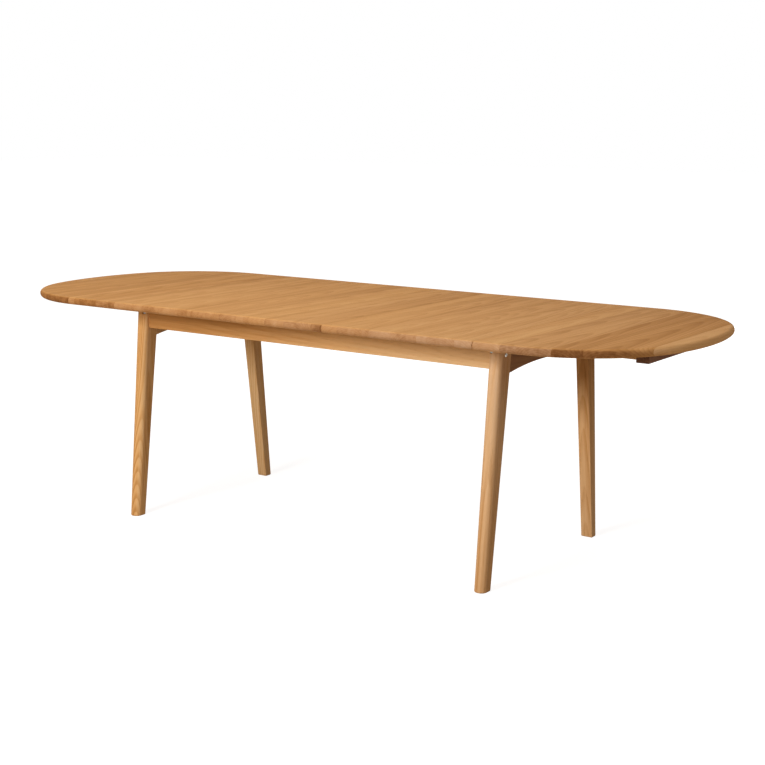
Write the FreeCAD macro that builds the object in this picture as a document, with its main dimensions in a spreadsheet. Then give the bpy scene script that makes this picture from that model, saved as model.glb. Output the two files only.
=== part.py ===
import FreeCAD, Part
import math
import os

import Sketcher
from FreeCAD import Placement, Rotation, Vector

doc = FreeCAD.newDocument("ExtensionTable")
sheet = doc.addObject("Spreadsheet::Sheet", "Dims")

# Named sizes in millimetres
SIZES = {
    "top_height": 730.0,
    "top_length": 1399.0,
    "top_width": 920.0,
    "top_thick": 24.0,
    "bullnose": 11.6,
    "seam_ease": 1.2,
    "seam_gap": 1.0,
    "leaf_length": 491.0,
    "leaf_corner": 359.0,
    "leaf_end_radius": 785.0,
    "frame_set_in": 50.5,
    "leg_width_top": 42.5,
    "leg_width_foot": 38.5,
    "leg_set_in": 172.5,
    "leg_splay": 88.0,
    "leg_depth_top": 61.5,
    "leg_depth_foot": 39.5,
    "leg_round": 18.5,
    "leg_flat": 1.0,
    "leg_ease": 2.5,
    "foot_ease": 1.5,
    "apron_setback": 13.5,
    "apron_thick": 24.0,
    "apron_depth": 82.5,
    "rail_thick": 20.0,
    "rail_end_depth": 109.0,
    "rail_arch": 22.5,
    "arch_bevel": 1.5,
    "frame_ease": 2.5,
    "center_thick": 22.0,
    "block_depth": 60.0,
    "block_along": 51.0,
    "block_across": 44.0,
    "top_block_out": 330.0,
    "top_block_long": 60.0,
    "top_block_wide": 36.0,
    "bearer_inset": 39.0,
    "bearer_width": 26.0,
    "bearer_depth": 27.5,
    "bearer_travel": 392.5,
    "bearer_end_gap": 2.0,
    "batten_clear": 4.0,
    "batten_width": 37.0,
    "batten_depth": 29.5,
    "batten_ease": 2.0,
    "tenon_side": 14.0,
    "tenon_long": 24.0,
    "tenon_gap": 0.05,
    "rest_gap": 0.1,
    "slide_gap": 0.4,
    "guide_wall": 12.0,
    "lip_reach": 7.0,
    "lip_thick": 8.0,
    "peg_dia": 8.0,
    "peg_long": 25.0,
    "peg_show": 10.0,
    "stop_gap": 0.3,
    "glue_gap": 0.02,
    "hole_spare": 0.5,
    "dowel_dia": 10.0,
    "dowel_seat": 25.0,
    "dowel_show": 23.0,
    "dowel_outer": 330.0,
    "dowel_inner": 110.0,
    "dowel_run": 0.1,
    "bolt_dia": 6.0,
    "bolt_head": 12.0,
    "bolt_face": 8.6,
    "bolt_head_high": 3.6,
    "bolt_rim_high": 2.0,
    "bolt_socket": 4.0,
    "bolt_socket_deep": 2.2,
    "bolt_sink": 2.0,
    "nose_sink": 8.0,
    "bolt_gap": 0.25,
    "head_gap": 0.3,
    "bolt_past": 8.0,
    "bore_end": 2.0,
    "apron_bolt_drop": 40.0,
    "rail_bolt_drop": 30.0,
    "apron_nut_in": 26.0,
    "rail_nut_in": 16.0,
    "nut_dia": 12.0,
    "nut_long": 17.0,
    "thread_fit": 0.05,
    "screw_dia": 5.0,
    "screw_head": 9.0,
    "screw_head_high": 3.5,
    "screw_point": 3.0,
    "screw_bite": 14.0,
    "screw_play": 0.1,
    "screw_spread": 120.0,
}


class Dim:
    """A length that carries its value and the expression that gives it."""

    def __init__(self, value, text):
        self.value = float(value)
        self.text = text

    def __add__(self, other):
        other = as_dim(other)
        return Dim(self.value + other.value, f"({self.text} + {other.text})")

    def __sub__(self, other):
        other = as_dim(other)
        return Dim(self.value - other.value, f"({self.text} - {other.text})")

    def __mul__(self, other):
        other = as_dim(other)
        return Dim(self.value * other.value, f"({self.text} * {other.text})")

    def __truediv__(self, other):
        other = as_dim(other)
        return Dim(self.value / other.value, f"({self.text} / {other.text})")

    def __neg__(self):
        return Dim(-self.value, f"(0 - {self.text})")

    def root(self):
        return Dim(math.sqrt(self.value), f"sqrt({self.text})")

    def at_most(self, other):
        return Dim(min(self.value, other.value), f"min({self.text}; {other.text})")


def as_dim(value):
    return value if isinstance(value, Dim) else Dim(value, repr(float(value)))


def fill_sheet():
    for row, (alias, value) in enumerate(SIZES.items(), start=1):
        sheet.set(f"A{row}", alias.replace("_", " "))
        sheet.set(f"B{row}", str(value))
        sheet.setAlias(f"B{row}", alias)


def dim(alias):
    return Dim(SIZES[alias], f"Dims.{alias}")


def bind(target, path, value):
    target.setExpression(path, as_dim(value).text)


def place(target, x, y, z, rotation=None):
    base = [as_dim(value) for value in (x, y, z)]
    turn = rotation if rotation is not None else Rotation()
    target.Placement = Placement(Vector(*[value.value for value in base]), turn)
    for axis, value in zip("xyz", base):
        bind(target, f"Placement.Base.{axis}", value)


def new_body(name):
    made = doc.addObject("PartDesign::Body", name)
    made.Label = name
    return made


def origin_plane(owner, role):
    return next(item for item in owner.Origin.OriginFeatures if item.Role == role)


def new_sketch(owner, name, role, offset=0.0):
    offset = as_dim(offset)
    made = owner.newObject("Sketcher::SketchObject", f"{owner.Name}_{name}")
    made.AttachmentSupport = (origin_plane(owner, role), [""])
    made.MapMode = "FlatFace"
    made.AttachmentOffset = Placement(Vector(0, 0, offset.value), Rotation())
    bind(made, "AttachmentOffset.Base.z", offset)
    return made


def constrain(target, value, kind, *parts):
    """Add a constraint whose size follows a length."""
    row = target.addConstraint(Sketcher.Constraint(kind, *parts, value.value))
    bind(target, f"Constraints[{row}]", value)


def pin_point(target, geo, pos, x, y):
    """Hold one point of a sketch at a place given from the sketch's origin."""
    for kind, axis, value in (("DistanceX", -2, x), ("DistanceY", -1, y)):
        if abs(value.value) < TINY:
            target.addConstraint(Sketcher.Constraint("PointOnObject", geo, pos, axis))
        else:
            constrain(target, value, kind, -1, 1, geo, pos)


def line(target, start, stop):
    target.addGeometry(Part.LineSegment(start, stop), False)


def arc(target, hub, radius, start, stop):
    ring = Part.Circle(hub, UP, radius)
    target.addGeometry(Part.ArcOfCircle(ring, start, stop), False)


def polygon(target, points):
    points = [(as_dim(x), as_dim(y)) for x, y in points]
    corners = [Vector(x.value, y.value, 0) for x, y in points]
    count = len(corners)
    first = target.GeometryCount
    for index in range(count):
        line(target, corners[index], corners[(index + 1) % count])
    for index in range(count):
        after = first + (index + 1) % count
        target.addConstraint(Sketcher.Constraint("Coincident", first + index, 2, after, 1))
    for index, (x, y) in enumerate(points):
        pin_point(target, first + index, 1, x, y)


def rectangle(target, x0, x1, y0, y1):
    polygon(target, [(x0, y0), (x1, y0), (x1, y1), (x0, y1)])


def rounded_section(target, x0, x1, y0, y1, radii):
    """Rectangle with its own corner radius at (x1,y0), (x1,y1), (x0,y1) and (x0,y0)."""
    spots = ((x1, y0, -1, 1), (x1, y1, -1, -1), (x0, y1, 1, -1), (x0, y0, 1, 1))
    hubs = [Vector(x.value + sx * r.value, y.value + sy * r.value, 0)
            for (x, y, sx, sy), r in zip(spots, radii)]
    for row in range(4):
        turn = (row - 1) * QUARTER
        arc(target, hubs[row], radii[row].value, turn, turn + QUARTER)
    for row in range(4):
        after = (row + 1) % 4
        out = Vector(math.cos(row * QUARTER), math.sin(row * QUARTER), 0)
        line(target, hubs[row] + out * radii[row].value, hubs[after] + out * radii[after].value)
    for row in range(4):
        after = (row + 1) % 4
        target.addConstraint(Sketcher.Constraint("Tangent", row, 2, 4 + row, 1))
        target.addConstraint(Sketcher.Constraint("Tangent", 4 + row, 2, after, 1))
        target.addConstraint(Sketcher.Constraint("Horizontal" if row % 2 else "Vertical", 4 + row))
        constrain(target, radii[row], "Radius", row)
    for row, value in enumerate((x1, y1, x0, y0)):
        constrain(target, value, "DistanceY" if row % 2 else "DistanceX", -1, 1, 4 + row, 1)


def circles(target, centres, diameter):
    for x, y in centres:
        x = as_dim(x)
        y = as_dim(y)
        ring = Part.Circle(Vector(x.value, y.value, 0), UP, diameter.value / 2)
        geo = target.addGeometry(ring, False)
        pin_point(target, geo, 3, x, y)
        constrain(target, diameter, "Diameter", geo)


def feature(kind, owner, name, profile, length, reverse):
    made = owner.newObject(f"PartDesign::{kind}", f"{owner.Name}_{name}")
    made.Profile = profile
    made.Reversed = reverse
    if length is None:
        made.Type = "ThroughAll"
    else:
        made.Length = length.value
        bind(made, "Length", length)
    profile.Visibility = False
    return made


def pad(owner, name, profile, length, reverse=False):
    return feature("Pad", owner, name, profile, length, reverse)


def pocket(owner, name, profile, length=None, reverse=False):
    return feature("Pocket", owner, name, profile, length, reverse)


def turn_body(owner, profile, axis):
    made = owner.newObject("PartDesign::Revolution", f"{owner.Name}_turned")
    made.Profile = profile
    made.ReferenceAxis = (profile, [axis])
    made.Angle = 360.0


def box_body(name, x0, x1, y0, y1, z0, z1):
    made = new_body(name)
    plan = new_sketch(made, "plan", "XY_Plane", z0)
    rectangle(plan, x0, x1, y0, y1)
    pad(made, "stock", plan, z1 - z0)
    return made


def edge_span(edge):
    box = edge.BoundBox
    return box.XLength, box.YLength, box.ZLength


def lies_along(edge, axis):
    """True for a straight edge that runs along one axis."""
    return all(span < TINY for row, span in enumerate(edge_span(edge)) if row != axis)


def square_to(edge, axis):
    """True for an edge that lies in a plane square to one axis."""
    return edge_span(edge)[axis] < TINY


def at_level(edge, level):
    box = edge.BoundBox
    return abs(box.ZMin - level.value) < TINY and abs(box.ZMax - level.value) < TINY


def edge_names(made, test):
    return [f"Edge{row}" for row, edge in enumerate(made.Shape.Edges, start=1) if test(edge)]


def round_edges(owner, name, test, radius):
    """Fillet the edges of the body's last feature that pass the test."""
    doc.recompute()
    last = owner.Tip
    made = owner.newObject("PartDesign::Fillet", f"{owner.Name}_{name}")
    made.Base = (last, edge_names(last, test))
    made.Radius = radius.value
    bind(made, "Radius", radius)


def bevel_edges(owner, name, test, size):
    """Chamfer the edges of the body's last feature that pass the test."""
    doc.recompute()
    last = owner.Tip
    made = owner.newObject("PartDesign::Chamfer", f"{owner.Name}_{name}")
    made.Base = (last, edge_names(last, test))
    made.Size = size.value
    bind(made, "Size", size)


def mirror(name, source, normal):
    made = doc.addObject("Part::Mirroring", name)
    made.Label = name
    made.Source = source
    made.Base = Vector(0, 0, 0)
    made.Normal = normal
    return made


def group(name, members):
    made = doc.addObject("Part::Compound", name)
    made.Label = name
    made.Links = members
    return made


def four_corners(source, stem):
    """The front right piece and its copies at the other three corners."""
    left = mirror(f"{stem}_front_left", source, ACROSS)
    back = mirror(f"{stem}_back_right", source, ALONG)
    far = mirror(f"{stem}_back_left", left, ALONG)
    return [source, left, back, far]


ACROSS = Vector(1, 0, 0)
ALONG = Vector(0, 1, 0)
UP = Vector(0, 0, 1)
X_AXIS, Z_AXIS = 0, 2
QUARTER = math.pi / 2
TINY = 0.001
ENDS = (("right", 1), ("left", -1))
FACES = (("front", 1), ("back", -1))
nodes = []
fill_sheet()
doc.recompute()

# Levels and faces shared by several pieces
under = dim("top_height") - dim("top_thick")
mid_top = dim("top_height") - dim("top_thick") / 2
rim_level = dim("top_height") - dim("bullnose") / 2
seam = dim("top_length") / 2
half_width = dim("top_width") / 2
leaf_start = seam + dim("seam_gap")
frame_half = seam - dim("frame_set_in")
rail_face = frame_half + dim("rail_thick")
rail_mid = frame_half + dim("rail_thick") / 2
leg_face = half_width - dim("leg_set_in")
leg_back = leg_face - dim("leg_depth_top")
apron_face = leg_face - dim("apron_setback")
apron_back = apron_face - dim("apron_thick")
apron_mid = apron_face - dim("apron_thick") / 2
apron_low = under - dim("apron_depth")
block_low = under - dim("block_depth")
batten_in = rail_face + dim("bearer_travel")
batten_out = batten_in + dim("batten_width")
batten_half = leg_back - dim("batten_clear")
bearer_top = under - dim("rest_gap")
bearer_low = bearer_top - dim("bearer_depth")
batten_low = bearer_top - dim("batten_depth")
bearer_face = leg_back - dim("bearer_inset")
bearer_back = bearer_face - dim("bearer_width")
bearer_mid = bearer_face - dim("bearer_width") / 2
slide_low = bearer_low - dim("slide_gap")
center_face = dim("center_thick") / 2
bearer_end = center_face + dim("bearer_end_gap") + dim("bearer_travel")
peg_x = frame_half - dim("stop_gap") - dim("peg_dia") / 2
apron_bolt_z = under - dim("apron_bolt_drop")
rail_bolt_z = under - dim("rail_bolt_drop")
screw_x = dim("top_block_out")
screw_y = apron_back - dim("top_block_wide") / 2
center_screws = [(0.0, dim("screw_spread")), (0.0, -dim("screw_spread"))]
dowel_rows = [row for alias in ("dowel_outer", "dowel_inner") for row in (dim(alias), -dim(alias))]

# Widths of holes that take a fastener
bolt_hole = dim("bolt_dia") + dim("bolt_gap") * 2
head_hole = dim("bolt_head") + dim("head_gap") * 2
nut_hole = dim("nut_dia") + dim("thread_fit") * 2
screw_hole = dim("screw_dia") + dim("screw_play") * 2


def leg_inside(level):
    """Distance from the middle to a leg's inner side at a height."""
    return leg_back + dim("leg_splay") / under * (under - level)


def leg_outside(level):
    """Distance from the middle to a leg's outer side at a height."""
    spread = dim("leg_splay") + dim("leg_depth_foot") - dim("leg_depth_top")
    return leg_face + spread / under * (under - level)


def leg_end(level):
    """Distance from the middle to a leg's end face at a height."""
    lean = (dim("leg_width_foot") - dim("leg_width_top")) / under
    return frame_half + dim("leg_width_top") + lean * (under - level)


# Main top: slab with round long edges, square meeting ends, blind holes for dowels and screws
main_top = box_body("main_top", -seam, seam, -half_width, half_width, under, dim("top_height"))
round_edges(main_top, "bullnose", lambda e: lies_along(e, X_AXIS), dim("bullnose"))
round_edges(main_top, "ease", lambda e: square_to(e, X_AXIS) and e.BoundBox.ZMax > rim_level.value,
            dim("seam_ease"))
for end, side in ENDS:
    holes = new_sketch(main_top, f"dowel_holes_{end}", "YZ_Plane", seam * side)
    circles(holes, [(row, mid_top) for row in dowel_rows], dim("dowel_dia") + dim("dowel_run") * 2)
    pocket(main_top, f"dowel_bores_{end}", holes, dim("dowel_show") + dim("hole_spare"), side < 0)
pilots = new_sketch(main_top, "screw_holes", "XY_Plane", under)
pilot_rows = [(screw_x * sx, screw_y * sy) for sx in (1, -1) for sy in (1, -1)]
circles(pilots, pilot_rows + center_screws, dim("screw_dia") + dim("thread_fit") * 2)
pocket(main_top, "screw_pilots", pilots, dim("screw_bite") + dim("hole_spare"), True)
nodes.append(main_top)


def leaf_outline(target):
    """Straight sides that run into round corners, which run into a flatter end arc."""
    corner = dim("leaf_corner")
    end_radius = dim("leaf_end_radius")
    hub = leaf_start + dim("leaf_length") - end_radius
    rise = half_width - corner
    reach = end_radius - corner
    straight = hub + (reach * reach - rise * rise).root()
    half_arc = math.atan2(rise.value, straight.value - hub.value)
    start = Vector(leaf_start.value, -half_width.value, 0)
    low = Vector(straight.value, -half_width.value, 0)
    high = Vector(straight.value, half_width.value, 0)
    stop = Vector(leaf_start.value, half_width.value, 0)
    line(target, start, low)
    arc(target, Vector(straight.value, -rise.value, 0), corner.value, -QUARTER, -half_arc)
    arc(target, Vector(hub.value, 0, 0), end_radius.value, -half_arc, half_arc)
    arc(target, Vector(straight.value, rise.value, 0), corner.value, half_arc, QUARTER)
    line(target, high, stop)
    line(target, stop, start)
    target.addConstraint(Sketcher.Constraint("Coincident", 4, 2, 5, 1))
    target.addConstraint(Sketcher.Constraint("Coincident", 5, 2, 0, 1))
    for row in range(4):
        target.addConstraint(Sketcher.Constraint("Tangent", row, 2, row + 1, 1))
    pin_point(target, 0, 1, leaf_start, -half_width)
    pin_point(target, 4, 2, leaf_start, half_width)
    pin_point(target, 0, 2, straight, -half_width)
    pin_point(target, 4, 1, straight, half_width)
    for geo, radius in ((1, corner), (3, corner), (2, end_radius)):
        constrain(target, radius, "Radius", geo)


# Leaf: round-ended slab with a flat meeting edge bored for four dowels
leaf_right = new_body("leaf_right")
leaf_plan = new_sketch(leaf_right, "plan", "XY_Plane", under)
leaf_outline(leaf_plan)
pad(leaf_right, "slab", leaf_plan, dim("top_thick"))
round_edges(leaf_right, "bullnose", lambda e: square_to(e, Z_AXIS) and not square_to(e, X_AXIS),
            dim("bullnose"))
round_edges(leaf_right, "ease", lambda e: square_to(e, X_AXIS) and e.BoundBox.ZMax > rim_level.value,
            dim("seam_ease"))
leaf_holes = new_sketch(leaf_right, "dowel_holes", "YZ_Plane", leaf_start)
circles(leaf_holes, [(row, mid_top) for row in dowel_rows], dim("dowel_dia") + dim("glue_gap") * 2)
pocket(leaf_right, "dowel_bores", leaf_holes, dim("dowel_seat") + dim("hole_spare"), True)
nodes += [leaf_right, mirror("leaf_left", leaf_right, ACROSS)]

# Leg: splayed taper with a round nose towards the long side, and two bolt holes
leg = new_body("leg_front_right")


def leg_section(name, level, shrink):
    """Section of the leg at a height, drawn in on every side by a bevel."""
    face = new_sketch(leg, name, "XY_Plane", level)
    wide = leg_end(level) - frame_half - shrink * 2
    nose = (dim("leg_round") - shrink).at_most((wide - dim("leg_flat")) / 2)
    sharp = dim("leg_ease") - shrink / 2
    rounded_section(face, frame_half + shrink, leg_end(level) - shrink, -leg_outside(level) + shrink,
                    -leg_inside(level) - shrink, (nose, sharp, sharp, nose))
    return face


floor_level = as_dim(0.0)
no_bevel = as_dim(0.0)
foot_ease = dim("foot_ease")
loft = leg.newObject("PartDesign::AdditiveLoft", "leg_taper")
loft.Profile = leg_section("foot_section", floor_level, foot_ease)
loft.Sections = [leg_section("ankle_section", foot_ease, no_bevel),
                 leg_section("top_section", under, no_bevel)]
loft.Ruled = True
sink_x = leg_end(apron_bolt_z) - dim("bolt_sink")
sink_y = leg_outside(rail_bolt_z) - dim("nose_sink")
for name, plane, centre, seat in (("apron_bolt", "YZ_Plane", (-apron_mid, apron_bolt_z), sink_x),
                                  ("rail_bolt", "XZ_Plane", (rail_mid, rail_bolt_z), sink_y)):
    shank_sketch = new_sketch(leg, f"{name}_hole", plane)
    circles(shank_sketch, [centre], bolt_hole)
    pocket(leg, f"{name}_bore", shank_sketch, None, True)
    head_sketch = new_sketch(leg, f"{name}_seat", plane, seat)
    circles(head_sketch, [centre], head_hole)
    pocket(leg, f"{name}_recess", head_sketch, None, True)
nodes += four_corners(leg, "leg")

# Long apron: straight rail between the legs, bored at both ends for a bolt and a cross nut
apron = box_body("apron_front", -frame_half, frame_half, -apron_face, -apron_back, apron_low, under)
round_edges(apron, "ease", lambda e: lies_along(e, X_AXIS) and at_level(e, apron_low), dim("frame_ease"))
for end, side in ENDS:
    bolt_end = new_sketch(apron, f"bolt_hole_{end}", "YZ_Plane", frame_half * side)
    circles(bolt_end, [(-apron_mid, apron_bolt_z)], bolt_hole)
    pocket(apron, f"bolt_bore_{end}", bolt_end, dim("apron_nut_in") + dim("bolt_past") + dim("bore_end"),
           side < 0)
apron_nut_x = frame_half - dim("apron_nut_in")
apron_nuts_at = new_sketch(apron, "nut_holes", "XZ_Plane", apron_back)
circles(apron_nuts_at, [(apron_nut_x, apron_bolt_z), (-apron_nut_x, apron_bolt_z)], nut_hole)
pocket(apron, "nut_bores", apron_nuts_at, dim("nut_long") + dim("hole_spare"), True)
nodes += [apron, mirror("apron_back", apron, ALONG)]

# End rail: arched underside, splayed ends and two open slots that the bearers pass through
rail = new_body("end_rail_right")
rail_front = new_sketch(rail, "front", "YZ_Plane", frame_half)
rail_low = under - dim("rail_end_depth")
half_top = leg_inside(under)
half_low = leg_inside(rail_low)
arch_radius = (half_low * half_low + dim("rail_arch") * dim("rail_arch")) / (dim("rail_arch") * 2)
arch_hub = rail_low + dim("rail_arch") - arch_radius
half_swing = math.asin(half_low.value / arch_radius.value)
rail_corners = [(half_low, rail_low), (half_top, under), (-half_top, under), (-half_low, rail_low)]
for (y0, z0), (y1, z1) in zip(rail_corners, rail_corners[1:]):
    line(rail_front, Vector(y0.value, z0.value, 0), Vector(y1.value, z1.value, 0))
arc(rail_front, Vector(0, arch_hub.value, 0), arch_radius.value, QUARTER - half_swing, QUARTER + half_swing)
for one, one_end, two, two_end in ((0, 2, 1, 1), (1, 2, 2, 1), (2, 2, 3, 2), (3, 1, 0, 1)):
    rail_front.addConstraint(Sketcher.Constraint("Coincident", one, one_end, two, two_end))
for geo, (y, z) in enumerate(rail_corners[:3]):
    pin_point(rail_front, geo, 1, y, z)
pin_point(rail_front, 2, 2, *rail_corners[3])
constrain(rail_front, arch_radius, "Radius", 3)
pad(rail, "stock", rail_front, dim("rail_thick"))
bevel_edges(rail, "ease", lambda e: isinstance(e.Curve, Part.Circle), dim("arch_bevel"))
slots = new_sketch(rail, "bearer_slots", "YZ_Plane", frame_half)
for _, side in FACES:
    rectangle(slots, (bearer_face + dim("slide_gap")) * side, (bearer_back - dim("slide_gap")) * side,
              slide_low, dim("top_height"))
pocket(rail, "bearer_slot_cut", slots, None, True)
rail_nut_y = leg_inside(rail_bolt_z) - dim("rail_nut_in")
for face, side in FACES:
    bolt_end = new_sketch(rail, f"bolt_hole_{face}", "XZ_Plane", half_low * side)
    circles(bolt_end, [(rail_mid, rail_bolt_z)], bolt_hole)
    pocket(rail, f"bolt_bore_{face}", bolt_end,
           half_low - rail_nut_y + dim("bolt_past") + dim("bore_end"), side < 0)
rail_nuts_at = new_sketch(rail, "nut_holes", "YZ_Plane", frame_half)
circles(rail_nuts_at, [(rail_nut_y, rail_bolt_z), (-rail_nut_y, rail_bolt_z)], nut_hole)
pocket(rail, "nut_bores", rail_nuts_at, dim("nut_long") + dim("hole_spare"), True)
nodes += [rail, mirror("end_rail_left", rail, ACROSS)]

# Centre rail: cross member that ties the aprons and ends the travel of the bearers
center = box_body("center_rail", -center_face, center_face, -apron_back, apron_back, block_low, under)
center_holes = new_sketch(center, "screw_holes", "XY_Plane", block_low)
circles(center_holes, center_screws, screw_hole)
pocket(center, "screw_bores", center_holes, None, True)
nodes.append(center)

# Corner block: glued triangle behind each leg
block = new_body("corner_block_front_right")
block_plan = new_sketch(block, "plan", "XY_Plane", block_low)
polygon(block_plan, [(frame_half, -apron_back), (frame_half, -apron_back + dim("block_across")),
                     (frame_half - dim("block_along"), -apron_back)])
pad(block, "stock", block_plan, dim("block_depth"))
nodes += four_corners(block, "corner_block")

# Top block: glued inside the apron and bored for a screw that holds the top
half_block = dim("top_block_long") / 2
top_block = box_body("top_block_front_right", screw_x - half_block, screw_x + half_block, -apron_back,
                     -apron_back + dim("top_block_wide"), block_low, under)
block_hole = new_sketch(top_block, "screw_hole", "XY_Plane", block_low)
circles(block_hole, [(screw_x, -screw_y)], screw_hole)
pocket(top_block, "screw_bore", block_hole, None, True)
nodes += four_corners(top_block, "top_block")


def guide_body(name, side):
    """Lipped strip beside a bearer: side 1 is the outer strip, -1 the inner one."""
    made = new_body(name)
    face = new_sketch(made, "section", "YZ_Plane", center_face)
    wall = -bearer_mid - (dim("bearer_width") / 2 + dim("slide_gap")) * side
    back = wall - dim("guide_wall") * side
    lip = wall + dim("lip_reach") * side
    lip_low = slide_low - dim("lip_thick")
    polygon(face, [(back, under), (wall, under), (wall, slide_low), (lip, slide_low),
                   (lip, lip_low), (back, lip_low)])
    pad(made, "strip", face, frame_half - center_face)
    return made


# Bearer guides: a pair of lipped strips for each bearer, glued under the top
for row, side in (("outer", 1), ("inner", -1)):
    nodes += four_corners(guide_body(f"guide_{row}_front_right", side), f"guide_{row}")

# Bearer: sliding bar with a tenon at its outer end and a hole for the stop peg
bearer = new_body("bearer_front_right")
bar = new_sketch(bearer, "bar_section", "YZ_Plane", bearer_end)
rectangle(bar, -bearer_face, -bearer_back, bearer_low, bearer_top)
pad(bearer, "bar", bar, batten_in - bearer_end)
tenon = new_sketch(bearer, "tenon_section", "YZ_Plane", batten_in)
tenon_half = dim("tenon_side") / 2
tenon_z = bearer_low + dim("bearer_depth") / 2
rectangle(tenon, -bearer_mid - tenon_half, -bearer_mid + tenon_half, tenon_z - tenon_half,
          tenon_z + tenon_half)
pad(bearer, "tenon", tenon, dim("tenon_long"))
peg_hole = new_sketch(bearer, "peg_hole", "XY_Plane", bearer_low)
circles(peg_hole, [(peg_x, -bearer_mid)], dim("peg_dia") + dim("glue_gap") * 2)
pocket(bearer, "peg_bore", peg_hole, dim("peg_long") - dim("peg_show") + dim("hole_spare"), True)
nodes += four_corners(bearer, "bearer")

# Cross batten: joins the two bearers of one end and carries the leaf
batten = box_body("cross_batten_right", batten_in, batten_out, -batten_half, batten_half,
                  batten_low, bearer_top)
round_edges(batten, "ease", lambda e: at_level(e, batten_low), dim("batten_ease"))
mortises = new_sketch(batten, "mortises", "YZ_Plane", batten_in)
mortise_half = tenon_half + dim("tenon_gap")
for _, side in FACES:
    middle = bearer_mid * side
    rectangle(mortises, middle - mortise_half, middle + mortise_half, tenon_z - mortise_half,
              tenon_z + mortise_half)
pocket(batten, "mortise_cut", mortises, dim("tenon_long") + dim("hole_spare"), True)
nodes += [batten, mirror("cross_batten_left", batten, ACROSS)]


def rod(name, x, y, z, diameter, length, rotation=None):
    made = doc.addObject("Part::Cylinder", name)
    made.Radius = diameter.value / 2
    made.Height = length.value
    bind(made, "Radius", diameter / 2)
    bind(made, "Height", length)
    place(made, x, y, z, rotation)
    return made


# Stop pegs in the bearers and dowels in the leaves
pegs = [rod(f"peg_{face}", peg_x, -bearer_mid * side, bearer_low - dim("peg_show"), dim("peg_dia"),
            dim("peg_long")) for face, side in FACES]
pegs_right = group("stop_pegs_right", pegs)
to_right = Rotation(ALONG, 90)
dowels = [rod(f"dowel_{row}", leaf_start - dim("dowel_show"), y, mid_top, dim("dowel_dia"),
              dim("dowel_show") + dim("dowel_seat"), to_right) for row, y in enumerate(dowel_rows)]
dowels_right = group("dowels_right", dowels)
nodes += [pegs_right, mirror("stop_pegs_left", pegs_right, ACROSS)]
nodes += [dowels_right, mirror("dowels_left", dowels_right, ACROSS)]


def bolt_body(name, shank):
    """Low round head with a hexagon socket, shank along -X from the head's seat."""
    made = new_body(name)
    half = new_sketch(made, "half_profile", "XZ_Plane")
    high = dim("bolt_head_high")
    head = dim("bolt_head") / 2
    neck = dim("bolt_dia") / 2
    polygon(half, [(-shank, 0.0), (high, 0.0), (high, dim("bolt_face") / 2), (dim("bolt_rim_high"), head),
                   (0.0, head), (0.0, neck), (-shank, neck)])
    turn_body(made, half, "H_Axis")
    socket = new_sketch(made, "socket", "YZ_Plane", high)
    reach = dim("bolt_socket") / math.sqrt(3)
    rise = dim("bolt_socket") / 2
    polygon(socket, [(reach, 0.0), (reach / 2, rise), (-(reach / 2), rise), (-reach, 0.0),
                     (-(reach / 2), -rise), (reach / 2, -rise)])
    pocket(made, "socket_cut", socket, dim("bolt_socket_deep"))
    return made


def nut_body(name, depth):
    """Cross nut: short cylinder along Z, drilled across along X at a depth from its open end."""
    made = new_body(name)
    ring = new_sketch(made, "ring", "XY_Plane")
    circles(ring, [(0.0, 0.0)], dim("nut_dia"))
    pad(made, "barrel", ring, dim("nut_long"))
    hole = new_sketch(made, "hole", "YZ_Plane", -dim("nut_dia"))
    circles(hole, [(0.0, depth)], dim("bolt_dia") + dim("thread_fit") * 2)
    pocket(made, "thread_bore", hole, None, True)
    return made


# Leg bolts and cross nuts: one pair into the apron and one into the end rail at every leg
apron_bolt = bolt_body("apron_bolt", sink_x - apron_nut_x + dim("bolt_past"))
place(apron_bolt, sink_x, -apron_mid, apron_bolt_z)
rail_bolt = bolt_body("rail_bolt", sink_y - rail_nut_y + dim("bolt_past"))
place(rail_bolt, rail_mid, -sink_y, rail_bolt_z, Rotation(UP, -90))
apron_nut = nut_body("apron_nut", dim("apron_thick") / 2)
place(apron_nut, apron_nut_x, -apron_back, apron_bolt_z, Rotation(ACROSS, 90))
rail_nut = nut_body("rail_nut", dim("rail_thick") / 2)
place(rail_nut, frame_half, -rail_nut_y, rail_bolt_z, Rotation(ALONG, 90).multiply(Rotation(UP, 90)))
for fastener in (apron_bolt, rail_bolt, apron_nut, rail_nut):
    nodes.append(group(f"{fastener.Name}s", four_corners(fastener, fastener.Name)))

# Top screws: up through the top blocks and the centre rail
screw = new_body("top_screw")
screw_half = new_sketch(screw, "half_profile", "XZ_Plane")
shaft = dim("screw_dia") / 2
cap = dim("screw_head") / 2
screw_tip = dim("block_depth") + dim("screw_bite")
polygon(screw_half, [(0.0, -dim("screw_head_high")), (cap, -dim("screw_head_high")), (cap, 0.0),
                     (shaft, 0.0), (shaft, screw_tip - dim("screw_point")), (0.0, screw_tip)])
turn_body(screw, screw_half, "V_Axis")
place(screw, screw_x, -screw_y, block_low)
doc.recompute()
top_screws = four_corners(screw, "top_screw")
for row, (x, y) in enumerate(center_screws):
    copy = doc.addObject("App::Link", f"center_screw_{row}")
    copy.LinkedObject = screw
    copy.LinkTransform = False
    place(copy, x, y, block_low)
    top_screws.append(copy)
nodes.append(group("top_screws", top_screws))

doc.recompute()
for item in doc.Objects:
    if "Invalid" in item.State or "Error" in item.State:
        raise RuntimeError(f"{item.Label} did not recompute")
os.makedirs("parts", exist_ok=True)
for node in nodes:
    if node.Shape.isNull() or not node.Shape.isValid():
        raise RuntimeError(f"{node.Label} has no valid shape")
for node in nodes:
    node.Shape.exportStep(f"parts/{node.Label}.step")
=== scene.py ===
import math

import bmesh
import bpy
from mathutils import Matrix, Vector


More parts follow.
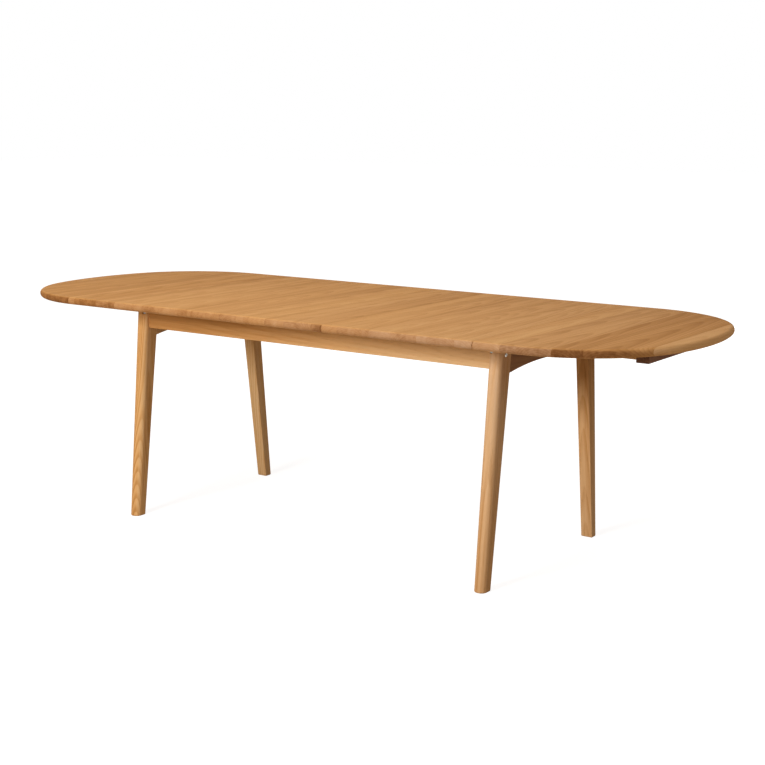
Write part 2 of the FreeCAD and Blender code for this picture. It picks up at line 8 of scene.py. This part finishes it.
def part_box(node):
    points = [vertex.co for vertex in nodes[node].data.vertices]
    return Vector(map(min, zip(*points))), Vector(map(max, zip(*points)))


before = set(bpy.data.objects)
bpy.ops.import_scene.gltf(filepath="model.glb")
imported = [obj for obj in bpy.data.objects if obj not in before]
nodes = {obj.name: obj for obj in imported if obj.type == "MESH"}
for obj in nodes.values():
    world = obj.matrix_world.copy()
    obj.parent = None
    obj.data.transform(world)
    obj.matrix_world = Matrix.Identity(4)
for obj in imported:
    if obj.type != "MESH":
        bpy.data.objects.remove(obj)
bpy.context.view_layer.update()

# Camera at the photograph's viewpoint: metres, degrees, and pixels of a square image
IMAGE_SIDE = 765
SENSOR_WIDTH = 36.0
FOCAL_PIXELS = 1412.09
CENTRE_SHIFT_PIXELS = -10.23
CAMERA_PLACE = (2.60770, -3.59916, 1.30675)
CAMERA_YAW = -34.51
CAMERA_PITCH = 10.63
CAMERA_ROLL = 0.35

# Stage: metres, and how bright the floor and the air around the object are
FLOOR_SIDE = 60.0
FLOOR_DROP = 0.0004
FLOOR_NEAR = 1.2
FLOOR_FAR = 3.4
FLOOR_GLOW_NEAR = 0.87
FLOOR_SEEN = (0.34, 0.34, 0.34, 1.0)
FLOOR_BOUNCE = (0.54, 0.47, 0.38, 1.0)
AMBIENT = 0.22
AMBIENT_TINT = (1.0, 0.89, 0.76, 1.0)
BACKDROP = 1.0
BACKDROP_TINT = (1.0, 1.0, 1.0, 1.0)

# Square soft lamps: metres and watts
LAMPS = [
    dict(name="front_softbox", place=(-0.4, -5.0, 2.2), aim=(0.1, -0.3, 0.6), side=1.4, power=220.0),
    dict(name="overhead_softbox", place=(-0.55, -0.9, 3.4), aim=(0.0, 0.0, 0.7), side=2.6, power=46.0,
         tint=(1.0, 0.97, 0.92)),
    dict(name="back_softbox", place=(-1.0, 4.8, 1.2), aim=(0.0, 0.3, 0.4), side=2.4, power=55.0,
         mirrored=False),
    dict(name="side_softbox", place=(3.75, -0.7, 2.2), aim=(0.6, 0.0, 0.4), side=1.8, power=20.0),
]

# Boards of the top, side by side along X: where each one starts, how light it is, how pink it is
MAIN_BOARDS = [
    (-0.700, 0.40, 0.2), (-0.656, 0.28, 0.2), (-0.618, 0.62, 0.2), (-0.572, 0.52, 0.2),
    (-0.500, 0.38, 0.2), (-0.428, 0.56, 0.2), (-0.352, 0.48, 0.2), (-0.300, 0.54, 0.2),
    (-0.182, 0.48, 0.3), (-0.116, 0.66, 0.2), (-0.090, 0.50, 0.2), (-0.066, 0.66, 0.1),
    (-0.006, 0.52, 0.3), (0.018, 0.66, 0.3), (0.064, 0.44, 0.5), (0.160, 0.28, 0.5),
    (0.194, 0.05, 0.4), (0.201, 0.64, 0.2), (0.256, 0.52, 0.4), (0.340, 0.46, 0.5),
    (0.364, 0.60, 0.6), (0.436, 0.50, 0.6), (0.520, 0.64, 0.7), (0.556, 0.54, 0.7),
    # The last board, a narrow dark strip along the gap to the right leaf, is painted shade in that gap
    (0.640, 0.66, 0.75), (0.6985, 0.10, 0.4),
]
RIGHT_BOARDS = [
    # The first board, a narrow dark strip along the gap to the main top, is painted shade in that gap
    (0.700, 0.10, 0.4), (0.7015, 0.66, 0.5), (0.784, 0.36, 0.9), (0.832, 0.36, 0.8),
    (0.926, 0.06, 0.4), (1.000, 0.08, 0.3), (1.133, 0.70, 0.8),
]
# The left leaf's boards are darker than the main top's, partly their own tone and partly painted shade for
# light falling off towards the left end
LEFT_BOARDS = [
    (-1.192, 0.24, 0.1), (-1.060, 0.32, 0.0), (-0.960, 0.20, 0.1), (-0.826, 0.60, 0.1),
    (-0.800, 0.38, 0.0), (-0.776, 0.28, 0.0),
]

# Where the boards of the main top and right leaf are darkest across the table, where they stop being darker,
# and by how much: partly the boards' own tone and partly painted shade, for the dimmer light on the far side
FAR_TONE_AND_PAINTED_SHADE = (0.46, -0.15, 0.06)

# Shares of a board's own lightness and pinkness that show on the oiled face; the end grain shows all of both
FACE_SHARE = 0.34
FACE_PINK_SHARE = 0.2
BOARD_MIDDLE_LIGHT = 0.5

# Oiled oak of the top, paler oak of the frame, duller and darker oak as painted shade for pieces in the
# shadow of the leaves, and plain beech inside, each from the darkest streaks to the palest
TOP_TONES = [
    (0.00, (0.247, 0.098, 0.026)),
    (0.30, (0.440, 0.207, 0.066)),
    (0.50, (0.582, 0.298, 0.108)),
    (0.75, (0.668, 0.374, 0.150)),
    (1.00, (0.765, 0.484, 0.230)),
]
FRAME_TONES = [
    (0.00, (0.270, 0.104, 0.026)),
    (0.30, (0.475, 0.223, 0.067)),
    (0.50, (0.625, 0.345, 0.136)),
    (0.75, (0.715, 0.450, 0.216)),
    (1.00, (0.800, 0.560, 0.320)),
]
PAINTED_SHADE_TONES = [
    (0.00, (0.265, 0.140, 0.080)),
    (0.50, (0.420, 0.240, 0.130)),
    (1.00, (0.600, 0.400, 0.240)),
]
BEECH_TONES = [
    (0.00, (0.330, 0.180, 0.095)),
    (0.50, (0.560, 0.360, 0.210)),
    (1.00, (0.700, 0.500, 0.330)),
]
PINK_TINT = (0.95, 1.13, 1.75)
END_GRAIN_TINT = (0.65, 0.59, 0.56)
PORE_BROWN = (0.130, 0.055, 0.020)

# Noise in the timber, in cycles per metre along the grain and the two ways across it
STREAK_SCALES = (0.9, 24.0, 24.0)
BAND_SCALES = (1.8, 120.0, 120.0)
FIBRE_SCALES = (7.0, 480.0, 480.0)
SPECK_SCALES = (48.0, 1700.0, 1700.0)
WANDER_SCALES = (1.6, 7.0, 7.0)
BLOTCH_SCALES = (60.0, 80.0, 80.0)
NOISE_MIDDLE = 0.5

# How far the noise and the late wood of the rings move the tone
STREAK_TONE = 0.42
BAND_TONE = 0.20
FIBRE_TONE = 0.16
BLOTCH_TONE = 0.55
RING_TONE = -0.16

# Growth rings: where in a ring the late wood rises and falls and how much of it there is on average, and in
# metres how far rings wander and how far the hearts of the boards are spread
LATE_WOOD_RISE = (0.25, 0.85)
LATE_WOOD_FALL = (1.0, 0.90)
LATE_WOOD_MIDDLE = 0.35
RING_WANDER = 0.022
HEART_SPREAD = 0.07

# Metres by which chance moves a board's noise, along the grain and the two ways across it
CHANCE_SHIFTS = (9.0, 5.0, 3.0)

# How squarely a face cuts the grain where the end grain starts to show and where it shows fully
END_GRAIN_FACING = (0.25, 0.85)

# Pores: specks where they start and are full, their share outside the late wood, and how much they colour
PORE_SPECKS = (0.56, 0.70)
PORE_EARLY_SHARE = 0.4
PORE_COLOUR = 0.26

# Oiled surface: roughness, mirror strength, and bumps in metres
ROUGHNESS = 0.60
FIBRE_ROUGHNESS = 0.16
PORE_ROUGHNESS = 0.12
SPECULAR_LEVEL = 0.01
BUMP_STRENGTH = 0.16
BUMP_DISTANCE = 0.0005
FIBRE_HEIGHT = 0.6

# First seed of each kind of piece, so that no two pieces share their grain
TOP_SEED = 1.0
LEG_SEED = 2.0
APRON_SEED = 11.0
CROSS_SEED = 21.0
BEARER_SEED = 31.0
GUIDE_SEED = 41.0
BLOCK_SEED = 42.0

# Top: metres from the middle of the slab down to its heart line, and strength of its rings and fine grain
TOP_HEART_DOWN = 0.062
TOP_GRAIN = dict(figure=0.5, fine=0.7)

# Middle of the front right leg at the floor and under the top, half its width, and how far towards the
# middle of the table the heart line lies from its foot
LEG_FOOT_Y = -0.334
LEG_TOP_Y = -0.257
LEG_HALF_WIDTH = 0.021
LEG_HEART_IN = 0.05
# Where across a leg the painted light on its +X side starts
PAINTED_SIDE_LIGHT_START = 0.4 * LEG_HALF_WIDTH

# How each leg differs: lightness, pinkness, width and strength of its rings, strength of its fine grain, how
# far the rings lean from the leg's line, which end is darker as painted shade, and how much paler it is
# towards +X as painted light on that side
LEG_LOOKS = {
    "leg_front_left": dict(light=0.43, pink=0.0, ring_step=0.0045, figure=1.2, fine=1.7, tilt=0.11,
                           tone_and_painted_shade_end=(0.05, 0.55, 0.08), painted_side_light=0.22),
    "leg_front_right": dict(light=0.61, pink=0.50, figure=0.5, fine=1.2, tone_and_painted_shade_end=(0.05, 0.60, 0.26)),
    "leg_back_left": dict(light=0.72, pink=0.0, figure=1.3, fine=2.2, tilt=0.06,
                          tone_and_painted_shade_end=(0.66, 0.25, 0.14)),
    "leg_back_right": dict(light=0.46, pink=0.3, figure=0.6, fine=1.4, tilt=0.06,
                           tone_and_painted_shade_end=(0.66, 0.20, 0.20), painted_side_light=0.06),
}

# Aprons: metres from the middle to the heart line, up and back, and how much darker the left end is
APRON_HEART = (0.03, 0.09)
APRON_GRAIN = dict(light=0.64, ring_step=0.007, figure=0.3)
APRON_DARKER = 0.32

# Rails and battens across the table: tones, lightness and pinkness; metres to the heart line, up and along X
CROSS_PIECES = [
    ("end_rail_left", FRAME_TONES, 0.50, 0.3),
    # The right end rail and the battens take the darker tones as painted shade, for the shadow under the
    # leaves
    ("end_rail_right", PAINTED_SHADE_TONES, 0.25, 0.0),
    ("cross_batten_left", PAINTED_SHADE_TONES, 0.05, 0.3),
    ("cross_batten_right", PAINTED_SHADE_TONES, 0.05, 0.3),
    ("center_rail", FRAME_TONES, 0.40, 0.3),
]
CROSS_HEART = (-0.01, 0.045)
CROSS_FIGURE = 0.6

# Bearers: metres from their middle down to the heart line, and its place along Y
BEARER_HEART_DOWN = 0.04
BEARER_HEART_Y = 0.05

# Beech pieces inside: where their heart lines lie, and strength of their rings
GUIDE_HEART = (0.62, 0.06)
BLOCK_HEART = (0.6, 0.03)
BEECH_FIGURE = 0.5

# Zinc-plated steel: cycles per metre of its turning marks, its tones, least roughness and how it varies
STEEL_SCALES = (900.0, 900.0, 900.0)
STEEL_TONES = [(0.3, (0.36, 0.33, 0.28)), (0.7, (0.54, 0.50, 0.43))]
STEEL_ROUGHNESS = 0.2
STEEL_ROUGHNESS_SPREAD = 0.25

# Directions of the grain and of the two ways across it
ALONG_X = ((1, 0, 0), (0, 0, 1), (0, 1, 0))
ALONG_Y = ((0, 1, 0), (0, 0, 1), (1, 0, 0))
UPRIGHT = ((0, 0, 1), (1, 0, 0), (0, 1, 0))
TOP_AXES = ((0, 1, 0), (1, 0, 0), (0, 0, 1))

# Places of the colour sockets on Blender's mix node
MIX_FACTOR = 0
MIX_FIRST = 6
MIX_SECOND = 7
MIX_RESULT = 2


class Graph:
    """Node tree of one material, with a short call for each kind of node used here."""

    def __init__(self, name):
        self.material = bpy.data.materials.new(name)
        self.material.use_nodes = True
        self.tree = self.material.node_tree
        self.tree.nodes.clear()

    def add(self, kind, **settings):
        made = self.tree.nodes.new(f"ShaderNode{kind}")
        for key, value in settings.items():
            setattr(made, key, value)
        return made

    def feed(self, socket, value):
        if isinstance(value, bpy.types.NodeSocket):
            self.tree.links.new(value, socket)
        else:
            socket.default_value = value

    def math(self, operation, *values):
        made = self.add("Math", operation=operation)
        for socket, value in zip(made.inputs, values):
            self.feed(socket, value)
        return made.outputs[0]

    def total(self, *values):
        found = values[0]
        for value in values[1:]:
            found = self.math("ADD", found, value)
        return found

    def share(self, value, middle, amount):
        """How far a value is from its middle, times an amount."""
        return self.math("MULTIPLY", self.math("SUBTRACT", value, middle), amount)

    def from_share(self, factor, share):
        """Straight rise from a share to 1 as the factor goes from 0 to 1."""
        return self.math("MULTIPLY_ADD", factor, 1.0 - share, share)

    def vector(self, operation, one, two, output="Vector"):
        made = self.add("VectorMath", operation=operation)
        self.feed(made.inputs[0], one)
        self.feed(made.inputs[1], two)
        return made.outputs[output]

    def combine(self, *values):
        made = self.add("CombineXYZ")
        for socket, value in zip(made.inputs, values):
            self.feed(socket, value)
        return made.outputs[0]

    def noise(self, place, scales, detail=2.0, roughness=0.5):
        made = self.add("TexNoise", noise_dimensions="3D")
        self.feed(made.inputs["Vector"], self.vector("MULTIPLY", place, scales))
        made.inputs["Scale"].default_value = 1.0
        made.inputs["Detail"].default_value = detail
        made.inputs["Roughness"].default_value = roughness
        return made.outputs[0]

    def ramp(self, factor, stops, interpolation="LINEAR"):
        made = self.add("ValToRGB")
        made.color_ramp.interpolation = interpolation
        points = made.color_ramp.elements
        while len(points) < len(stops):
            points.new(1.0)
        for point, (place, colour) in zip(points, stops):
            point.position = place
            point.color = (*colour, 1.0)
        self.feed(made.inputs[0], factor)
        return made.outputs[0]

    def step(self, value, low, high):
        """Smooth rise from 0 to 1 between two values."""
        made = self.add("MapRange", interpolation_type="SMOOTHSTEP")
        for socket, number in zip(made.inputs, (value, low, high, 0.0, 1.0)):
            self.feed(socket, number)
        return made.outputs[0]

    def mix(self, factor, one, two, blend="MIX"):
        """Blend a colour from a node with a plain colour."""
        made = self.add("Mix", data_type="RGBA", blend_type=blend)
        self.feed(made.inputs[MIX_FACTOR], factor)
        self.feed(made.inputs[MIX_FIRST], one)
        self.feed(made.inputs[MIX_SECOND], (*two, 1.0))
        return made.outputs[MIX_RESULT]

    def finish(self, shader):
        self.tree.links.new(shader, self.add("OutputMaterial").inputs["Surface"])
        return self.material


def board_values(graph, across, boards, end):
    """Lightness, pinkness and middle of the board at a place, from the list of boards."""
    starts = [start for start, _, _ in boards]
    stops = starts[1:] + [end]
    span = end - starts[0]
    rows = []
    for (start, light, pink), stop in zip(boards, stops):
        middle = ((start + stop) / 2 - starts[0]) / span
        rows.append(((start - starts[0]) / span, (light, pink, middle)))
    factor = graph.math("DIVIDE", graph.math("SUBTRACT", across, starts[0]), span)
    parts = graph.add("SeparateColor")
    graph.feed(parts.inputs[0], graph.ramp(factor, rows, "CONSTANT"))
    light, pink, place = parts.outputs
    middle = graph.total(graph.math("MULTIPLY", place, span), starts[0])
    return light, pink, middle


def late_wood(graph, side, depth, wander, ring_step):
    """1 in the dark late wood of the growth rings and 0 in the early wood, from the distance to the heart."""
    squares = graph.total(graph.math("MULTIPLY", side, side), graph.math("MULTIPLY", depth, depth))
    grown = graph.total(graph.math("SQRT", squares), graph.share(wander, NOISE_MIDDLE, RING_WANDER))
    phase = graph.math("FRACT", graph.math("DIVIDE", grown, ring_step))
    return graph.math("MULTIPLY", graph.step(phase, *LATE_WOOD_RISE), graph.step(phase, *LATE_WOOD_FALL))


def oiled(graph, colour, fibre, pore):
    """Oiled surface that is a little rougher and lower in its pores."""
    shine = graph.add("BsdfPrincipled")
    graph.feed(shine.inputs["Base Color"], colour)
    roughness = graph.total(ROUGHNESS, graph.share(fibre, NOISE_MIDDLE, FIBRE_ROUGHNESS),
                            graph.math("MULTIPLY", pore, PORE_ROUGHNESS))
    graph.feed(shine.inputs["Roughness"], roughness)
    shine.inputs["Specular IOR Level"].default_value = SPECULAR_LEVEL
    bump = graph.add("Bump")
    bump.inputs["Strength"].default_value = BUMP_STRENGTH
    bump.inputs["Distance"].default_value = BUMP_DISTANCE
    height = graph.math("SUBTRACT", graph.math("MULTIPLY", fibre, FIBRE_HEIGHT), pore)
    graph.feed(bump.inputs["Height"], height)
    graph.feed(shine.inputs["Normal"], bump.outputs[0])
    return shine.outputs[0]


def wood(name, axes, heart, tones, boards=None, boards_end=0.0, light=0.5, pink=0.1, seed=0.0,
         ring_step=0.006, figure=1.0, fine=1.0, tilt=0.035, tone_and_painted_shade_end=None, painted_side_light=0.0):
    """Solid timber in three dimensions: growth rings round a heart line, streaks, fibres and pores.

    axes are the grain's direction and the two across it, and heart is where the middle of the trunk
    lies along those two, apart from the middle of the board. figure is how strongly the rings show, fine
    how strongly the narrow streaks and fibres do, and tilt how far the heart line leans from the grain.
    tone_and_painted_shade_end holds where along the grain the colour is darkest, where it stops being darker,
    and by how much: painted shade on the legs, partly painted shade on the tops, and a darker left end on the
    aprons.
    painted_side_light is painted light: how much paler a leg is on the +X side of its heart line than on the
    other.
    """
    graph = Graph(name)
    coordinates = graph.add("TexCoord")
    spot = coordinates.outputs["Object"]
    along, across, deep = [graph.vector("DOT_PRODUCT", spot, axis, "Value") for axis in axes]
    facing = graph.vector("DOT_PRODUCT", coordinates.outputs["Normal"], axes[0], "Value")
    end_grain = graph.step(graph.math("ABSOLUTE", facing), *END_GRAIN_FACING)
    middle = 0.0
    if boards:
        light, pink, middle = board_values(graph, across, boards, boards_end)
        shown = graph.from_share(end_grain, FACE_SHARE)
        light = graph.total(BOARD_MIDDLE_LIGHT, graph.share(light, BOARD_MIDDLE_LIGHT, shown))
        pink = graph.math("MULTIPLY", pink, graph.from_share(end_grain, FACE_PINK_SHARE))
    chance = graph.add("TexWhiteNoise", noise_dimensions="1D")
    graph.feed(chance.inputs["W"], graph.total(middle, seed))
    luck = chance.outputs["Value"]
    place = graph.combine(*[
        graph.total(line, graph.math("MULTIPLY", luck, shift))
        for line, shift in zip((graph.total(along, seed), across, deep), CHANCE_SHIFTS)
    ])
    streak = graph.noise(place, STREAK_SCALES)
    band = graph.noise(place, BAND_SCALES)
    fibre = graph.noise(place, FIBRE_SCALES, roughness=0.6)
    speck = graph.noise(place, SPECK_SCALES, detail=1.0)
    wander = graph.noise(place, WANDER_SCALES)
    blotch = graph.noise(place, BLOTCH_SCALES)
    side = graph.total(graph.math("SUBTRACT", across, middle),
                       graph.share(luck, NOISE_MIDDLE, HEART_SPREAD), -heart[0])
    depth = graph.total(deep, graph.math("MULTIPLY", along, tilt), -heart[1])
    ring = late_wood(graph, side, depth, wander, ring_step)
    pore = graph.math("MULTIPLY", graph.step(speck, *PORE_SPECKS), graph.from_share(ring, PORE_EARLY_SHARE))
    tone = graph.total(
        light,
        graph.share(streak, NOISE_MIDDLE, STREAK_TONE),
        graph.share(band, NOISE_MIDDLE, BAND_TONE * fine),
        graph.share(ring, LATE_WOOD_MIDDLE, RING_TONE * figure),
        graph.share(fibre, NOISE_MIDDLE, FIBRE_TONE * fine),
        graph.math("MULTIPLY", end_grain, graph.share(blotch, NOISE_MIDDLE, BLOTCH_TONE)),
    )
    # Painted shade: darker towards one end of the legs and, in part, towards the far side of the tops; on the
    # aprons a darker left end
    if tone_and_painted_shade_end:
        darkest, plain, amount = tone_and_painted_shade_end
        tone = graph.total(tone, graph.math("MULTIPLY", graph.step(along, plain, darkest), -amount))
    # Painted light: the +X side of a leg is made paler, for light that falls on that side
    if painted_side_light:
        beside = graph.math("SUBTRACT", across, heart[0])
        paler = graph.step(beside, PAINTED_SIDE_LIGHT_START, LEG_HALF_WIDTH)
        tone = graph.total(tone, graph.math("MULTIPLY", paler, painted_side_light))
    colour = graph.mix(pink, graph.ramp(tone, tones), PINK_TINT, "MULTIPLY")
    colour = graph.mix(graph.math("MULTIPLY", pore, PORE_COLOUR), colour, PORE_BROWN)
    colour = graph.mix(end_grain, colour, END_GRAIN_TINT, "MULTIPLY")
    return graph.finish(oiled(graph, colour, fibre, pore))


def steel(name):
    """Zinc-plated steel with fine turning marks."""
    graph = Graph(name)
    spot = graph.add("TexCoord").outputs["Object"]
    marks = graph.noise(spot, STEEL_SCALES, detail=3.0, roughness=0.6)
    shine = graph.add("BsdfPrincipled")
    graph.feed(shine.inputs["Base Color"], graph.ramp(marks, STEEL_TONES))
    shine.inputs["Metallic"].default_value = 1.0
    roughness = graph.math("MULTIPLY_ADD", marks, STEEL_ROUGHNESS_SPREAD, STEEL_ROUGHNESS)
    graph.feed(shine.inputs["Roughness"], roughness)
    return graph.finish(shine.outputs[0])


def box_middle(name):
    low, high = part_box(name)
    return (Vector(low) + Vector(high)) / 2


def dress(names, material):
    for name in names:
        for slot in nodes[name].material_slots:
            slot.material = material


def dress_tops():
    """Main top and leaves: boards glued side by side, with the grain across the table."""
    heart = (0.0, box_middle("main_top").z - TOP_HEART_DOWN)
    # The main top and right leaf darken towards the far side, partly as painted shade
    slabs = (("main_top", MAIN_BOARDS, FAR_TONE_AND_PAINTED_SHADE), ("leaf_right", RIGHT_BOARDS, FAR_TONE_AND_PAINTED_SHADE),
             ("leaf_left", LEFT_BOARDS, None))
    for name, boards, shade in slabs:
        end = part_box(name)[1][0]
        dress([name], wood(f"{name}_oak", TOP_AXES, heart, TOP_TONES, boards, end, seed=TOP_SEED,
                           tone_and_painted_shade_end=shade, **TOP_GRAIN))


def dress_legs():
    """Legs: grain along each leaning leg."""
    low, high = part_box("leg_front_right")
    lean = (LEG_TOP_Y - LEG_FOOT_Y) / (high[2] - low[2])
    seed = LEG_SEED
    for side, sign in (("front", 1), ("back", -1)):
        axes = ((0, lean * sign, 1), (1, 0, 0), (0, 1, -lean * sign))
        for end in ("left", "right"):
            name = f"leg_{side}_{end}"
            heart = (box_middle(name).x, (LEG_FOOT_Y + LEG_HEART_IN) * sign)
            dress([name], wood(f"{name}_oak", axes, heart, FRAME_TONES, seed=seed, **LEG_LOOKS[name]))
            seed += 1.0


def dress_frame():
    """Aprons, rails, bearers and battens: grain along each piece."""
    for row, name in enumerate(("apron_front", "apron_back")):
        low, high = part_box(name)
        centre = box_middle(name)
        heart = (centre.z + APRON_HEART[0], centre.y + APRON_HEART[1])
        dress([name], wood(f"{name}_oak", ALONG_X, heart, FRAME_TONES, seed=APRON_SEED + row,
                           tone_and_painted_shade_end=(low[0], high[0], APRON_DARKER), **APRON_GRAIN))
    for row, (name, tones, light, pink) in enumerate(CROSS_PIECES):
        centre = box_middle(name)
        heart = (centre.z + CROSS_HEART[0], centre.x + CROSS_HEART[1])
        dress([name], wood(f"{name}_oak", ALONG_Y, heart, tones, light=light, pink=pink,
                           seed=CROSS_SEED + row, figure=CROSS_FIGURE))
    for row, end in enumerate(("left", "right")):
        names = [f"bearer_{side}_{end}" for side in ("front", "back")]
        heart = (box_middle(names[0]).z - BEARER_HEART_DOWN, BEARER_HEART_Y)
        dress(names, wood(f"bearer_{end}_oak", ALONG_X, heart, FRAME_TONES, seed=BEARER_SEED + row))


def dress_inside():
    """Guides, blocks, pegs and dowels of plain pale wood, and the steel fasteners."""
    strips = wood("guide_beech", ALONG_X, GUIDE_HEART, BEECH_TONES, seed=GUIDE_SEED, figure=BEECH_FIGURE)
    dress([name for name in nodes if name.startswith(("guide_", "dowels_", "top_block_"))], strips)
    blocks = wood("block_beech", UPRIGHT, BLOCK_HEART, BEECH_TONES, seed=BLOCK_SEED, figure=BEECH_FIGURE)
    dress([name for name in nodes if name.startswith(("corner_block_", "stop_pegs_"))], blocks)
    metal = steel("zinc_steel")
    dress(["apron_bolts", "rail_bolts", "apron_nuts", "rail_nuts", "top_screws"], metal)


def white_for_view(tree):
    """1 where a ray comes from the camera, a mirror or glass, and 0 for light that falls on the object."""
    path = tree.nodes.new("ShaderNodeLightPath")
    found = path.outputs["Is Camera Ray"]
    for name in ("Is Glossy Ray", "Is Transmission Ray"):
        larger = tree.nodes.new("ShaderNodeMath")
        larger.operation = "MAXIMUM"
        tree.links.new(found, larger.inputs[0])
        tree.links.new(path.outputs[name], larger.inputs[1])
        found = larger.outputs[0]
    return found


def make_world():
    """White backdrop for the view, and a dimmer, warmer light that falls on the object."""
    world = bpy.data.worlds.new("studio")
    world.use_nodes = True
    tree = world.node_tree
    tree.nodes.clear()
    chosen = tree.nodes.new("ShaderNodeMixShader")
    tree.links.new(white_for_view(tree), chosen.inputs[0])
    lights = ((AMBIENT_TINT, AMBIENT), (BACKDROP_TINT, BACKDROP))
    for socket, (tint, strength) in zip(chosen.inputs[1:], lights):
        light = tree.nodes.new("ShaderNodeBackground")
        light.inputs["Color"].default_value = tint
        light.inputs["Strength"].default_value = strength
        tree.links.new(light.outputs[0], socket)
    tree.links.new(chosen.outputs[0], tree.nodes.new("ShaderNodeOutputWorld").inputs["Surface"])
    bpy.context.scene.world = world


def floor_material():
    """White that keeps a faint shadow near the object and throws back a little light."""
    graph = Graph("studio_floor")
    spot = graph.add("TexCoord").outputs["Object"]
    away = graph.vector("LENGTH", spot, (0.0, 0.0, 0.0), "Value")
    far = graph.step(away, FLOOR_NEAR, FLOOR_FAR)
    bounce = graph.add("BsdfDiffuse")
    bounce.inputs["Color"].default_value = FLOOR_BOUNCE
    glow = graph.add("Emission")
    graph.feed(glow.inputs["Strength"], graph.from_share(far, FLOOR_GLOW_NEAR))
    shaded = graph.add("BsdfDiffuse")
    shaded.inputs["Color"].default_value = FLOOR_SEEN
    seen = graph.add("AddShader")
    graph.feed(seen.inputs[0], glow.outputs[0])
    graph.feed(seen.inputs[1], shaded.outputs[0])
    chosen = graph.add("MixShader")
    graph.feed(chosen.inputs[0], white_for_view(graph.tree))
    graph.feed(chosen.inputs[1], bounce.outputs[0])
    graph.feed(chosen.inputs[2], seen.outputs[0])
    return graph.finish(chosen.outputs[0])


def make_floor():
    shape = bmesh.new()
    bmesh.ops.create_grid(shape, x_segments=1, y_segments=1, size=FLOOR_SIDE / 2)
    mesh = bpy.data.meshes.new("floor")
    shape.to_mesh(mesh)
    shape.free()
    floor = bpy.data.objects.new("floor", mesh)
    floor.location.z = -FLOOR_DROP
    floor.data.materials.append(floor_material())
    bpy.context.collection.objects.link(floor)


def make_lamp(name, place, aim, side, power, tint=(1.0, 1.0, 1.0), mirrored=True):
    """Square soft lamp; one that isn't mirrored leaves no highlight on the object."""
    lamp = bpy.data.lights.new(name, "AREA")
    lamp.shape = "SQUARE"
    lamp.size = side
    lamp.energy = power
    lamp.color = tint
    made = bpy.data.objects.new(name, lamp)
    made.location = place
    made.visible_glossy = mirrored
    made.rotation_mode = "QUATERNION"
    made.rotation_quaternion = (Vector(aim) - Vector(place)).to_track_quat("-Z", "Y")
    bpy.context.collection.objects.link(made)


def make_camera():
    lens = bpy.data.cameras.new("photo_view")
    lens.sensor_width = SENSOR_WIDTH
    lens.lens = FOCAL_PIXELS / IMAGE_SIDE * SENSOR_WIDTH
    lens.shift_x = CENTRE_SHIFT_PIXELS / IMAGE_SIDE
    made = bpy.data.objects.new("photo_view", lens)
    turn = Matrix.Rotation(math.radians(-CAMERA_YAW), 4, "Z")
    tilt = Matrix.Rotation(math.radians(90.0 - CAMERA_PITCH), 4, "X")
    roll = Matrix.Rotation(math.radians(CAMERA_ROLL), 4, "Z")
    made.matrix_world = Matrix.Translation(CAMERA_PLACE) @ turn @ tilt @ roll
    bpy.context.collection.objects.link(made)
    bpy.context.scene.camera = made


dress_tops()
dress_legs()
dress_frame()
dress_inside()
make_world()
make_floor()
for lamp_values in LAMPS:
    make_lamp(**lamp_values)
make_camera()
bpy.context.scene.view_settings.view_transform = "Standard"
